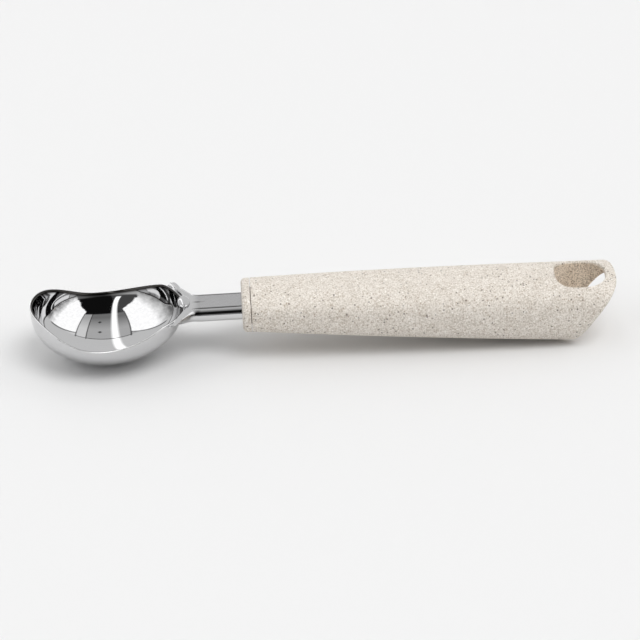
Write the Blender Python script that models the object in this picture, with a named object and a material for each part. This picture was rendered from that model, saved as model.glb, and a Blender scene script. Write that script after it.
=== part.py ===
"""Ice cream scoop: steel bowl, flattened tube stem with a saddle end, moulded grip with a hanging hole.

The scoop lies as it does on a table, bowl open upwards. +X runs from the bowl's tip to the grip's tail,
+Y to the left of someone holding it, +Z up. The origin is on the table, under the middle of the overall
length. Sizes are in metres. Every solid is a stack of rings: closed outlines with the same number of
points, joined ring to ring. Solids that touch on the real scoop stand SEAT_GAP apart.
"""
import math

import bpy
import bmesh
import numpy as np

SEAT_GAP = 0.0003

# Bowl: the lower half of an ellipsoid, pitched nose down, with its rim trimmed to a wave
BOWL_LENGTH = 0.0496
BOWL_WIDTH = 0.0416
BOWL_DEPTH = 0.0177
BOWL_WALL = 0.0009
BOWL_PITCH = math.radians(3.0)
BOWL_FLAT_DEPTH = 0.00006
RIM_TIP_HEIGHT = 0.0202
RIM_DIP_HEIGHT = 0.0127
RIM_SHOULDER_HEIGHT = 0.0175
RIM_BACK_HEIGHT = 0.0168
RIM_DIP_PLACE = 0.0225
RIM_SHOULDER_PLACE = 0.0428
RIM_TIP_EASE = 2.65
RIM_SWEEP_POWER = 1.84
RIM_SHOULDER_ROUNDING = 0.0004

# Stem: a round tube flattened to a stadium section, its front end spread into a saddle that hugs the bowl
STEM_WIDTH = 0.0128
STEM_HEIGHT = 0.0048
STEM_WALL = 0.0008
STEM_AXIS_HEIGHT = 0.0155
STEM_SHOWN_LENGTH = 0.01835
TANG_LENGTH = 0.0300
SADDLE_LENGTH = 0.0038
SADDLE_SPAN = 0.0284
SADDLE_EDGE = 0.0005
SADDLE_FLATNESS = 0.6
SADDLE_OPENS_AT = 0.70
SADDLE_OPEN_BY = 0.84
SADDLE_TAPER_POWER = 2.4
SADDLE_TAPER_ROUNDING = 1.5
ARM_LEAVES_AT = 0.0100
ARM_SPREAD = 0.0015

# Welds: a bead over the rim in the middle of the saddle and a fillet behind each of its arms' tips
BEAD_LENGTH = 0.0038
BEAD_WIDTH = 0.0082
BEAD_RISE = 0.0010
FILLET_STARTS_AT = 0.0118
FILLET_END_AT = 0.0138
FILLET_HEIGHT = 0.0010
FILLET_SINK = 0.0005

# Collar: the moulded plug that closes the grip's mouth and carries the tang
COLLAR_THICKNESS = 0.0027
COLLAR_EDGE_RADIUS = 0.0014
SPIGOT_LENGTH = 0.0260
SPIGOT_WALL_TOP = 0.0011
SPIGOT_WALL_SIDE = 0.0019

# Pin that locks the tang in the collar's spigot
PIN_DIAMETER = 0.0024
PIN_PLACE = 0.0160

# Grip: a hollow moulding, shallow at the mouth and deep at the tail, with a raked end
GRIP_LENGTH = 0.11855
GRIP_MOUTH_WIDTH = 0.0224
GRIP_TAIL_WIDTH = 0.0284
GRIP_WIDEST_PLACE = 0.0940
GRIP_MOUTH_TOP = 0.0221
GRIP_TAIL_TOP = 0.0204
GRIP_MOUTH_BOTTOM = 0.0094
GRIP_UNDERSIDE_REACH = 0.1035
GRIP_UNDERSIDE_POWER = 1.06
GRIP_TOP_POWER = 1.5
GRIP_SQUARENESS = 3.0
TAIL_RAKE = math.radians(36.0)
TAIL_BOW = 0.0014
TAIL_EDGE_RADIUS = 0.0012
TAIL_LEAN_LENGTH = 0.0450
CAVITY_LENGTH = 0.0850
CAVITY_DRAFT = 0.0010

# Hanging hole: down through the tail, rounder on the tail's side, where a lip stands under the top. The lip's
# edge is upright, then it slopes back.
HOLE_PLACE = 0.0120
HOLE_LENGTH = 0.0161
HOLE_WIDTH = 0.0165
HOLE_BOWL_SIDE_SQUARENESS = 3.3
HOLE_TAIL_SIDE_SQUARENESS = 2.4
HOLE_LIP_EDGE = 0.0004
HOLE_LIP_SLOPE = 0.0023
HOLE_LIP_REACH = 0.0021

# Places along the scoop, worked out from the sizes above
OVERALL_LENGTH = BOWL_LENGTH + STEM_SHOWN_LENGTH + COLLAR_THICKNESS + SEAT_GAP + GRIP_LENGTH
TIP_X = -OVERALL_LENGTH / 2
BOWL_X = TIP_X + BOWL_LENGTH / 2
BOWL_BACK_X = TIP_X + BOWL_LENGTH
SADDLE_END_X = BOWL_BACK_X + SADDLE_LENGTH
COLLAR_X = BOWL_BACK_X + STEM_SHOWN_LENGTH
MOUTH_X = COLLAR_X + COLLAR_THICKNESS + SEAT_GAP
TAIL_X = MOUTH_X + GRIP_LENGTH
TANG_END_X = COLLAR_X + TANG_LENGTH
BOWL_REACH_DOWN = math.hypot(BOWL_LENGTH / 2 * math.sin(BOWL_PITCH), BOWL_DEPTH * math.cos(BOWL_PITCH))
BOWL_EQUATOR_Z = BOWL_REACH_DOWN - BOWL_FLAT_DEPTH
STEM_TOP_Z = STEM_AXIS_HEIGHT + STEM_HEIGHT / 2

# Facets
AROUND_BOWL = 56
BOWL_STEPS = 11
SIDE_ARC_STEPS = 8
FLAT_STEPS = 8
SADDLE_FLARE_STEPS = 9
AROUND_GRIP = 48
GRIP_STEPS = 18
LEAN_STEPS = 7
LEAN_ROUNDS = 6
AROUND_HOLE = 40
AROUND_BEAD = 24
BEAD_STEPS = 6
AROUND_FILLET = 12
FILLET_STEPS = 8
AROUND_PIN = 24
SHARP_ANGLE = math.radians(40)

# Search for the rim: the rises it lies between, and how often the range is halved
RIM_RISE_FLOOR = -1.2
RIM_RISE_CEILING = 0.8
RIM_HALVINGS = 40

# Looks
STEEL_COLOUR = (0.62, 0.62, 0.63)
STRAW_COLOUR = (0.80, 0.74, 0.66)
STRAW_ROUGHNESS = 0.55
POLISHED = 0.12
SATIN = 0.25
PLAIN = 0.3
COLLAR_TINT = 0.97


def smooth_step(value):
    """0 below 0, 1 above 1, and the cubic 3v^2 - 2v^3 between."""
    value = np.clip(value, 0.0, 1.0)
    return value * value * (3.0 - 2.0 * value)


def steel(name, roughness):
    """Stainless steel, as a Principled material."""
    return principled(name, STEEL_COLOUR, roughness, 1.0)


def straw_plastic(name, tint):
    """Wheat straw plastic, pale beige, a little darker at a tint under 1."""
    return principled(name, [tint * channel for channel in STRAW_COLOUR], STRAW_ROUGHNESS, 0.0)


def principled(name, colour, roughness, metallic):
    """A Principled material of one colour."""
    material = bpy.data.materials.new(name)
    material.use_nodes = True
    shader = material.node_tree.nodes["Principled BSDF"]
    shader.inputs["Base Color"].default_value = (*colour, 1.0)
    shader.inputs["Roughness"].default_value = roughness
    shader.inputs["Metallic"].default_value = metallic
    return material


def solid(name, rings, material, start=None, end=None, looped=False):
    """One closed body from rings (count, points, 3).

    start and end are the pole points that close it; an end without one is a ring folded flat, whose two
    sides are joined. With looped the last ring joins the first.
    """
    rings = np.asarray(rings, dtype=float)
    count, points = rings.shape[:2]
    build = bmesh.new()
    rows = [[build.verts.new(point) for point in ring] for ring in rings]
    for row in range(count if looped else count - 1):
        lower = rows[row]
        upper = rows[(row + 1) % count]
        for i in range(points):
            j = (i + 1) % points
            build.faces.new((lower[i], lower[j], upper[j], upper[i]))
    for pole, row in ((start, rows[0]), (end, rows[-1])):
        if pole is None:
            continue
        middle = build.verts.new(pole)
        for i in range(points):
            build.faces.new((middle, row[i], row[(i + 1) % points]))
    bmesh.ops.remove_doubles(build, verts=build.verts[:], dist=1e-7)
    bmesh.ops.triangulate(build, faces=build.faces[:])
    bmesh.ops.recalc_face_normals(build, faces=build.faces[:])
    mesh = bpy.data.meshes.new(name)
    build.to_mesh(mesh)
    build.free()
    mesh.shade_smooth()
    mesh.set_sharp_from_angle(angle=SHARP_ANGLE)
    part = bpy.data.objects.new(name, mesh)
    bpy.context.collection.objects.link(part)
    mesh.materials.append(material)
    return part


def cut(part, cutter):
    """Takes a cutter out of a part, and leaves the cutter as a guide."""
    cutter.hide_render = True
    cutter.display_type = "WIRE"
    modifier = part.modifiers.new(cutter.name, "BOOLEAN")
    modifier.operation = "DIFFERENCE"
    modifier.object = cutter


def rim_height(x):
    """Height of the rim over the table: high at the tip, lowest at the dip, nearly level at the back."""
    along = np.clip((x - TIP_X) / RIM_DIP_PLACE, 0.0, 1.0)
    nose = (1 - along) ** RIM_TIP_EASE * (1 + RIM_TIP_EASE * along)
    behind = np.clip((x - TIP_X - RIM_DIP_PLACE) / (RIM_SHOULDER_PLACE - RIM_DIP_PLACE), 0.0, None)
    sweep = RIM_DIP_HEIGHT + (RIM_SHOULDER_HEIGHT - RIM_DIP_HEIGHT) * behind ** RIM_SWEEP_POWER
    past_shoulder = (x - TIP_X - RIM_SHOULDER_PLACE) / (BOWL_LENGTH - RIM_SHOULDER_PLACE)
    back = RIM_SHOULDER_HEIGHT - (RIM_SHOULDER_HEIGHT - RIM_BACK_HEIGHT) * past_shoulder
    lower = (sweep + back - np.sqrt((sweep - back) ** 2 + RIM_SHOULDER_ROUNDING ** 2)) / 2
    return lower + (RIM_TIP_HEIGHT - RIM_DIP_HEIGHT) * nose


def bowl_point(turn, rise, inset):
    """Point of the bowl's ellipsoid, inset from its outside.

    turn goes round the plan, rise is the angle from the bottom (-90 degrees) to the equator (0). Above the
    equator the wall goes straight up, by rise times the depth.
    """
    half_length = BOWL_LENGTH / 2 - inset
    half_width = BOWL_WIDTH / 2 - inset
    depth = BOWL_DEPTH - inset
    below = np.minimum(rise, 0.0)
    u = half_length * np.cos(below) * np.cos(turn)
    y = half_width * np.cos(below) * np.sin(turn)
    v = depth * np.sin(below) + BOWL_DEPTH * np.maximum(rise, 0.0)
    x = BOWL_X + u * math.cos(BOWL_PITCH) - v * math.sin(BOWL_PITCH)
    z = BOWL_EQUATOR_Z + u * math.sin(BOWL_PITCH) + v * math.cos(BOWL_PITCH)
    return np.stack([x, y, z], -1)


def bowl_rim_rise(turn, inset):
    """The rise at which the wall meets the rim's height, found by halving."""
    low = np.full_like(turn, RIM_RISE_FLOOR)
    high = np.full_like(turn, RIM_RISE_CEILING)
    for _ in range(RIM_HALVINGS):
        middle = (low + high) / 2
        point = bowl_point(turn, middle, inset)
        under = point[..., 2] < rim_height(point[..., 0])
        low = np.where(under, middle, low)
        high = np.where(under, high, middle)
    return low


def make_bowl():
    """The pressed shell: its outside from the bottom up to the rim, then its inside down again."""
    turn = np.linspace(0, 2 * math.pi, AROUND_BOWL, endpoint=False)
    rings = []
    for inset, steps in ((0.0, range(1, BOWL_STEPS + 1)), (BOWL_WALL, range(BOWL_STEPS, 0, -1))):
        top = bowl_rim_rise(turn, inset)
        for step in steps:
            rise = -math.pi / 2 + (top + math.pi / 2) * step / BOWL_STEPS
            rings.append(bowl_point(turn, rise, inset))
    bottom = bowl_point(np.zeros(1), np.full(1, -math.pi / 2), 0.0)[0]
    inside = bowl_point(np.zeros(1), np.full(1, -math.pi / 2), BOWL_WALL)[0]
    bowl = solid("bowl", rings, steel("polished_steel", POLISHED), start=bottom, end=inside)
    rest_on_table(bowl)


def rest_on_table(part):
    """Takes off what lies under the table's level, which leaves a small flat for the part to rest on."""
    build = bmesh.new()
    build.from_mesh(part.data)
    everything = build.verts[:] + build.edges[:] + build.faces[:]
    sliced = bmesh.ops.bisect_plane(
        build, geom=everything, plane_co=(0, 0, 0), plane_no=(0, 0, -1), clear_outer=True)
    rim = [item for item in sliced["geom_cut"] if isinstance(item, bmesh.types.BMEdge)]
    bmesh.ops.contextual_create(build, geom=rim)
    bmesh.ops.recalc_face_normals(build, faces=build.faces[:])
    build.to_mesh(part.data)
    build.free()
    part.data.set_sharp_from_angle(angle=SHARP_ANGLE)


def bowl_back_wall(y, z, clearance):
    """X of the bowl's outer wall behind its middle, moved out by a clearance, at a width and a height."""
    a = BOWL_LENGTH / 2 + clearance
    b = BOWL_WIDTH / 2 + clearance
    c = BOWL_DEPTH + clearance
    cosine = math.cos(BOWL_PITCH)
    sine = math.sin(BOWL_PITCH)
    dz = z - BOWL_EQUATOR_Z
    square = cosine ** 2 / a ** 2 + sine ** 2 / c ** 2
    linear = 2 * dz * cosine * sine * (1 / a ** 2 - 1 / c ** 2)
    constant = dz ** 2 * (sine ** 2 / a ** 2 + cosine ** 2 / c ** 2) + y ** 2 / b ** 2 - 1
    root = np.sqrt(np.maximum(linear ** 2 - 4 * square * constant, 0.0))
    return BOWL_X + (-linear + root) / (2 * square)


def stadium(width, height):
    """Outline of a flat-sided tube as (y, z), from the middle of the +Y side round by the top."""
    radius = height / 2
    flat = width / 2 - radius
    arc = np.linspace(0, math.pi / 2, SIDE_ARC_STEPS // 2 + 1)
    side = np.stack([flat + radius * np.cos(arc), radius * np.sin(arc)], 1)
    top = np.stack([np.linspace(flat, -flat, FLAT_STEPS + 1), np.full(FLAT_STEPS + 1, radius)], 1)[1:-1]
    half = np.concatenate([side, top, side[::-1] * (-1, 1)])
    return np.concatenate([half, half[-2:0:-1] * (1, -1)])


def stadium_ring(x, width, height):
    """Upright ring of the flattened tube."""
    outline = stadium(width, height)
    return np.column_stack([np.full(len(outline), x), outline[:, 0], STEM_AXIS_HEIGHT + outline[:, 1]])


def arm_back(y, z):
    """X of the saddle's face on the bowl: a seat gap off the wall, and further off towards the arms' tips."""
    away = (np.abs(y) - ARM_LEAVES_AT) / (SADDLE_SPAN / 2 - ARM_LEAVES_AT)
    return bowl_back_wall(y, z, SEAT_GAP) + ARM_SPREAD * smooth_step(away)


def saddle_ring(spread, fold=1.0):
    """One ring of the saddle.

    spread is 0 at the plain tube and 1 on the bowl's wall; a fold under 1 draws the ring's top and bottom
    together.
    """
    outline = stadium(STEM_WIDTH, STEM_HEIGHT)
    across = outline[:, 0] / (STEM_WIDTH / 2)
    down = (1 - outline[:, 1] / (STEM_HEIGHT / 2)) / 2
    opening = min(max((spread - SADDLE_OPENS_AT) / (SADDLE_OPEN_BY - SADDLE_OPENS_AT), 0.0), 1.0) ** 3
    half_width = STEM_WIDTH / 2 + (SADDLE_SPAN - STEM_WIDTH) / 2 * opening
    y = half_width * across
    reach = np.minimum(np.abs(y) / (SADDLE_SPAN / 2), 1.0)
    taper = (1 - reach ** SADDLE_TAPER_POWER) ** SADDLE_TAPER_ROUNDING
    arm = SADDLE_EDGE + (STEM_HEIGHT - SADDLE_EDGE) * taper
    flattening = smooth_step(spread / SADDLE_OPENS_AT)
    tall = STEM_HEIGHT + (arm - STEM_HEIGHT) * flattening
    squared = np.sign(down - 0.5) * np.abs(2 * down - 1) ** (1 - SADDLE_FLATNESS * flattening) / 2
    z = STEM_TOP_Z - tall * (0.5 + squared * fold)
    x = SADDLE_END_X + (arm_back(y, z) - SADDLE_END_X) * spread
    return np.stack([x, y, z], 1)


def make_stem():
    """Saddle, shown tube and tang as one tube, open inside from its far end to behind the saddle."""
    on_wall = [1.0, 0.92]
    flare = np.linspace(SADDLE_OPEN_BY, SADDLE_OPENS_AT, SADDLE_FLARE_STEPS)
    flattening = [0.5, 0.3, 0.15, 0.0]
    spreads = [*on_wall, *flare, *flattening]
    rings = [saddle_ring(1.0, fold) for fold in (0.0, 0.5)]
    rings += [saddle_ring(spread) for spread in spreads]
    for x in (COLLAR_X, TANG_END_X):
        rings.append(stadium_ring(x, STEM_WIDTH, STEM_HEIGHT))
    for x in (TANG_END_X, SADDLE_END_X):
        rings.append(stadium_ring(x, STEM_WIDTH - 2 * STEM_WALL, STEM_HEIGHT - 2 * STEM_WALL))
    bore_end = (SADDLE_END_X, 0.0, STEM_AXIS_HEIGHT)
    stem = solid("stem", rings, steel("satin_steel", SATIN), end=bore_end)
    cut(stem, pin_cutter("stem_pin_hole"))


def make_weld_bead():
    """A flat-bottomed dome over the rim and the saddle's top."""
    turn = np.linspace(0, 2 * math.pi, AROUND_BEAD, endpoint=False)
    place_x = BOWL_BACK_X - BOWL_WALL
    low = STEM_TOP_Z + SEAT_GAP
    rings = []
    for rise in np.linspace(0, math.pi / 2, BEAD_STEPS, endpoint=False):
        x = place_x + BEAD_LENGTH / 2 * math.cos(rise) * np.cos(turn)
        y = BEAD_WIDTH / 2 * math.cos(rise) * np.sin(turn)
        rings.append(np.stack([x, y, np.full_like(x, low + BEAD_RISE * math.sin(rise))], 1))
    top = (place_x, 0, low + BEAD_RISE)
    solid("weld_center", rings, steel("bead_steel", PLAIN), start=(place_x, 0, low), end=top)


def make_weld_fillet(name, side):
    """The wedge of weld metal between the bowl's wall and a saddle arm, thickest at the arm's tip."""
    turn = np.linspace(0, 2 * math.pi, AROUND_FILLET, endpoint=False)
    middle_z = STEM_TOP_Z - FILLET_SINK - FILLET_HEIGHT / 2
    rings = []
    for along in np.linspace(0, 1, FILLET_STEPS + 1):
        y = FILLET_STARTS_AT + (FILLET_END_AT - FILLET_STARTS_AT) * along
        size = (1 - (2 * along - 1) ** 4) ** 0.5
        z = middle_z + FILLET_HEIGHT / 2 * size * np.sin(turn)
        ys = np.full_like(z, y)
        near = bowl_back_wall(ys, z, SEAT_GAP)
        far = arm_back(ys, z) - SEAT_GAP
        x = (near + far) / 2 + (far - near) / 2 * size * np.cos(turn)
        rings.append(np.stack([x, side * ys, z], 1))
    start = rings[0].mean(0)
    end = rings[-1].mean(0)
    solid(name, rings[1:-1], steel(name + "_steel", PLAIN), start=start, end=end)


def grip_width(x):
    """Full width of the grip: grows from the mouth to its widest place, then stays."""
    left = np.clip(1 - (x - MOUTH_X) / GRIP_WIDEST_PLACE, 0.0, None)
    return GRIP_TAIL_WIDTH - (GRIP_TAIL_WIDTH - GRIP_MOUTH_WIDTH) * left ** 2


def grip_top(x):
    """Height of the grip's top line, falling slightly to the tail."""
    along = np.clip((x - MOUTH_X) / GRIP_LENGTH, 0.0, 1.0)
    return GRIP_MOUTH_TOP - (GRIP_MOUTH_TOP - GRIP_TAIL_TOP) * along ** GRIP_TOP_POWER


def grip_bottom(x):
    """Height of the grip's bottom line, which comes down to the table near the tail."""
    left = np.clip(1 - (x - MOUTH_X) / GRIP_UNDERSIDE_REACH, 0.0, None)
    return GRIP_MOUTH_BOTTOM * left ** GRIP_UNDERSIDE_POWER


def grip_outline():
    """Unit outline of the grip's section: a superellipse, from +Y round by the top."""
    turn = np.linspace(0, 2 * math.pi, AROUND_GRIP, endpoint=False)
    cosine = np.cos(turn)
    sine = np.sin(turn)
    across = np.sign(cosine) * np.abs(cosine) ** (2 / GRIP_SQUARENESS)
    up = np.sign(sine) * np.abs(sine) ** (2 / GRIP_SQUARENESS)
    return across, up


def grip_ring(station, lean, shrink):
    """Ring of the grip's outer surface.

    station is the X at the top line, lean runs from 0 for an upright ring to 1 for one on the raked, bowed
    end, and shrink draws the ring in towards its middle.
    """
    across, up = grip_outline()
    x = np.full_like(across, station)
    for _ in range(LEAN_ROUNDS):
        half_width = grip_width(x) / 2
        middle = (grip_top(x) + grip_bottom(x)) / 2
        half_height = (grip_top(x) - grip_bottom(x)) / 2
        y = (half_width - shrink) * across
        z = middle + (half_height - shrink) * up
        rake = math.tan(TAIL_RAKE) * (grip_top(station) - z)
        bow = TAIL_BOW * (2 * y / GRIP_TAIL_WIDTH) ** 2
        x = station - lean * (rake + bow)
    return np.stack([x, y, z], 1)


def cavity_size(x):
    """Width and height of the grip's cavity, which narrows a little from the mouth inwards."""
    taper = 2 * CAVITY_DRAFT * (x - MOUTH_X) / CAVITY_LENGTH
    width = STEM_WIDTH + 4 * SEAT_GAP + 2 * SPIGOT_WALL_SIDE
    height = STEM_HEIGHT + 4 * SEAT_GAP + 2 * SPIGOT_WALL_TOP
    return width - taper, height - taper


def cavity_ring(x, clearance, outset=0.0):
    """Ring inside the grip's cavity, drawn in by a clearance."""
    width, height = cavity_size(x + outset)
    across, up = grip_outline()
    y = (width / 2 - clearance) * across
    z = STEM_AXIS_HEIGHT + (height / 2 - clearance) * up
    return np.stack([np.full_like(y, x), y, z], 1)


def tang_bore_ring(x):
    """Ring of the collar's bore: the tang's section grown by the seat gap, with the grip's count of points."""
    outline = stadium(STEM_WIDTH + 2 * SEAT_GAP, STEM_HEIGHT + 2 * SEAT_GAP)
    angle = np.unwrap(np.arctan2(outline[:, 1], outline[:, 0]))
    wanted = np.linspace(0, 2 * math.pi, AROUND_GRIP, endpoint=False)
    closed_angle = np.append(angle, angle[0] + 2 * math.pi)
    closed = np.vstack([outline, outline[:1]])
    y = np.interp(wanted, closed_angle, closed[:, 0])
    z = STEM_AXIS_HEIGHT + np.interp(wanted, closed_angle, closed[:, 1])
    return np.stack([np.full(AROUND_GRIP, x), y, z], 1)


def make_collar():
    """Flange with a rounded front edge, a spigot behind it, and the tang's bore through both."""
    rings = [tang_bore_ring(COLLAR_X)]
    for angle in np.radians([0, 30, 60, 90]):
        ring = grip_ring(MOUTH_X, 0.0, COLLAR_EDGE_RADIUS * (1 - math.sin(angle)))
        ring[:, 0] = COLLAR_X + COLLAR_EDGE_RADIUS * (1 - math.cos(angle))
        rings.append(ring)
    flange_back = grip_ring(MOUTH_X, 0.0, 0.0)
    flange_back[:, 0] = COLLAR_X + COLLAR_THICKNESS
    rings.append(flange_back)
    rings.append(cavity_ring(COLLAR_X + COLLAR_THICKNESS, SEAT_GAP, SEAT_GAP))
    rings.append(cavity_ring(MOUTH_X + SPIGOT_LENGTH, SEAT_GAP))
    rings.append(tang_bore_ring(MOUTH_X + SPIGOT_LENGTH))
    collar = solid("collar", rings, straw_plastic("collar_plastic", COLLAR_TINT), looped=True)
    cut(collar, pin_cutter("collar_pin_hole"))


def pin_bar(name, radius, low, high):
    """An upright round bar between two heights, at the pin's place."""
    place_x = COLLAR_X + PIN_PLACE
    turn = np.linspace(0, 2 * math.pi, AROUND_PIN, endpoint=False)
    x = place_x + radius * np.cos(turn)
    y = radius * np.sin(turn)
    rings = [np.stack([x, y, np.full_like(x, z)], 1) for z in (low, high)]
    material = steel(name + "_steel", PLAIN)
    return solid(name, rings, material, start=(place_x, 0, low), end=(place_x, 0, high))


def pin_cutter(name):
    """Round cutter for the pin's hole, through the spigot and the tang."""
    reach = GRIP_MOUTH_TOP - STEM_AXIS_HEIGHT
    low = STEM_AXIS_HEIGHT - reach
    high = STEM_AXIS_HEIGHT + reach
    return pin_bar(name, PIN_DIAMETER / 2 + SEAT_GAP, low, high)


def make_pin():
    """Upright pin through the spigot and the tang, as long as the spigot is high."""
    half = cavity_size(COLLAR_X + PIN_PLACE)[1] / 2 - SEAT_GAP
    pin_bar("tang_pin", PIN_DIAMETER / 2, STEM_AXIS_HEIGHT - half, STEM_AXIS_HEIGHT + half)


def hole_ring(z, relief):
    """Ring of the hanging hole's cutter: a superellipse, squarer on the bowl's side.

    Its half on the tail's side is longer by the relief.
    """
    turn = np.linspace(0, 2 * math.pi, AROUND_HOLE, endpoint=False)
    cosine = np.cos(turn)
    sine = np.sin(turn)
    on_bowl_side = cosine < 0
    squareness = np.where(on_bowl_side, HOLE_BOWL_SIDE_SQUARENESS, HOLE_TAIL_SIDE_SQUARENESS)
    half_length = np.where(on_bowl_side, HOLE_LENGTH / 2, HOLE_LENGTH / 2 + relief)
    x = TAIL_X - HOLE_PLACE + half_length * np.sign(cosine) * np.abs(cosine) ** (2 / squareness)
    y = HOLE_WIDTH / 2 * np.sign(sine) * np.abs(sine) ** (2 / squareness)
    return np.stack([x, y, np.full_like(x, z)], 1)


def make_hole_cutter():
    """Upright cutter for the hanging hole, longer below the lip."""
    low = -HOLE_WIDTH
    high = GRIP_MOUTH_TOP + HOLE_WIDTH
    slope_top = GRIP_TAIL_TOP - HOLE_LIP_EDGE
    rings = [
        hole_ring(low, HOLE_LIP_REACH),
        hole_ring(slope_top - HOLE_LIP_SLOPE, HOLE_LIP_REACH),
        hole_ring(slope_top, 0.0),
        hole_ring(high, 0.0),
    ]
    place_x = TAIL_X - HOLE_PLACE
    material = steel("guide_steel", PLAIN)
    return solid("hanging_hole", rings, material, start=(place_x, 0, low), end=(place_x, 0, high))


def make_grip():
    """Cavity from its deep end to the mouth, then the outside from the mouth to the raked tail."""
    deep = MOUTH_X + CAVITY_LENGTH
    rings = [cavity_ring(x, 0.0) for x in np.linspace(deep, MOUTH_X, 5)]
    lean_start = TAIL_X - TAIL_LEAN_LENGTH
    for x in np.linspace(MOUTH_X, lean_start, GRIP_STEPS + 1):
        rings.append(grip_ring(x, 0.0, 0.0))
    edge_x = TAIL_X - TAIL_EDGE_RADIUS
    for part_way in np.linspace(0, 1, LEAN_STEPS + 1)[1:]:
        rings.append(grip_ring(lean_start + (edge_x - lean_start) * part_way, part_way, 0.0))
    for angle in np.radians([30, 60, 90]):
        station = edge_x + TAIL_EDGE_RADIUS * math.sin(angle)
        rings.append(grip_ring(station, 1.0, TAIL_EDGE_RADIUS * (1 - math.cos(angle))))
    flat = grip_ring(TAIL_X, 1.0, TAIL_EDGE_RADIUS)
    middle = flat.mean(0)
    for size in (0.66, 0.33):
        inner = middle + (flat - middle) * size
        inner[:, 0] += TAIL_BOW * ((2 * flat[:, 1] / GRIP_TAIL_WIDTH) ** 2 * size * (1 - size))
        rings.append(inner)
    end = middle + np.array([TAIL_BOW / 4, 0.0, 0.0])
    start = (deep, 0.0, STEM_AXIS_HEIGHT)
    grip = solid("grip", rings, straw_plastic("grip_plastic", 1.0), start=start, end=end)
    cut(grip, make_hole_cutter())


for leftover in list(bpy.data.objects):
    bpy.data.objects.remove(leftover)
make_bowl()
make_stem()
make_weld_bead()
make_weld_fillet("weld_left", 1)
make_weld_fillet("weld_right", -1)
make_collar()
make_pin()
make_grip()
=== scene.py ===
import math

import bpy
import numpy as np
from mathutils import Matrix


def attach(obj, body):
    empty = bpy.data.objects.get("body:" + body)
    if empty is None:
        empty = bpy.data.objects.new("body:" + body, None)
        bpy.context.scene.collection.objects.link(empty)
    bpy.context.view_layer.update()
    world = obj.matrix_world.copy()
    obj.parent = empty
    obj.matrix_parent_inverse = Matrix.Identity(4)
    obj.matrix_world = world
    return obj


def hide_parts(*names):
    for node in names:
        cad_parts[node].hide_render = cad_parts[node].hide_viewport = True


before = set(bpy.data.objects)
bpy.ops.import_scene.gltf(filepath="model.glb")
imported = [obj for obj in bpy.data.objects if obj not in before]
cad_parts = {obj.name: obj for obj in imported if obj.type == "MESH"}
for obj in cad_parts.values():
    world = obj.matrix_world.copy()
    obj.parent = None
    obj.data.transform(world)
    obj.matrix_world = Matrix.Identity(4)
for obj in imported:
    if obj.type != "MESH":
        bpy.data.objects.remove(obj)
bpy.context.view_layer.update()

# Camera: where the photographer stood, a little to the bowl's side and 30 degrees up, with a long lens. It
# was held a couple of degrees out of level, so the grip climbs to the right. The shifts are in pixels.
CAMERA_YAW = math.radians(2.0)
CAMERA_RISE = math.radians(30.0)
CAMERA_ROLL = math.radians(2.39)
CAMERA_DISTANCE = 0.8
CAMERA_AIM = np.array([-0.00197, 0.0, 0.00848])
CAMERA_LENS = 138.7
PICTURE_SIDE = 640
SHIFT_RIGHT_PIXELS = 0.6
SHIFT_UP_PIXELS = -0.1

camera_back = np.array([
    -math.sin(CAMERA_YAW) * math.cos(CAMERA_RISE),
    -math.cos(CAMERA_YAW) * math.cos(CAMERA_RISE),
    math.sin(CAMERA_RISE),
])
level_right = np.array([math.cos(CAMERA_YAW), -math.sin(CAMERA_YAW), 0.0])
level_up = np.cross(camera_back, level_right)
camera_right = math.cos(CAMERA_ROLL) * level_right - math.sin(CAMERA_ROLL) * level_up
camera_up = math.sin(CAMERA_ROLL) * level_right + math.cos(CAMERA_ROLL) * level_up

camera = bpy.data.objects.new("camera", bpy.data.cameras.new("camera"))
camera.data.sensor_width = 36.0
camera.data.lens = CAMERA_LENS
camera.data.shift_x = SHIFT_RIGHT_PIXELS / PICTURE_SIDE
camera.data.shift_y = SHIFT_UP_PIXELS / PICTURE_SIDE
placed = Matrix((camera_right, camera_up, camera_back)).transposed().to_4x4()
placed.translation = CAMERA_AIM + camera_back * CAMERA_DISTANCE
camera.matrix_world = placed
bpy.context.scene.collection.objects.link(camera)
bpy.context.scene.camera = camera
bpy.context.scene.view_settings.view_transform = "Standard"


# Studio: a pale table inside a white tent. Two tall soft panels light it from the left and the right, the
# ceiling is grey with one bright seam, the tent is open and dark where the camera looks in, and its back
# wall is pale. A soft lamp above on the right lights the grip and the table, and doesn't show in the steel.
TABLE_HALF_SIDE = 4.0
TABLE_DROP = 0.00004
TABLE_COLOUR = (0.765, 0.765, 0.765, 1.0)
TABLE_ROUGHNESS = 0.6
TABLE_SHINE = 0.2
LAMP_POWER = 1.30
LAMP_RISE = math.radians(63.0)
LAMP_TURN = math.radians(38.0)
LAMP_SPREAD = math.radians(32.0)
BACKGROUND_LIGHT = 0.87
CEILING_FRONT_LIGHT = 0.27
CEILING_BACK_LIGHT = 0.70
CEILING_RIGHT_GAIN = 0.40
BACK_LIGHT = 0.92
OPENING_LIGHT = 0.008
BESIDE_SEAM_GAIN = 0.09
LOW_FRONT_LIGHT = 0.20
LOW_LEFT_GAIN = 1.8
SEAM_LIGHT = 2.4
PANEL_LIGHT = 1.85
PANEL_SHADED_SHARE = 0.13
PANEL_CREASE_GAIN = 0.35
RIB_SHADE = 0.85

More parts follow.
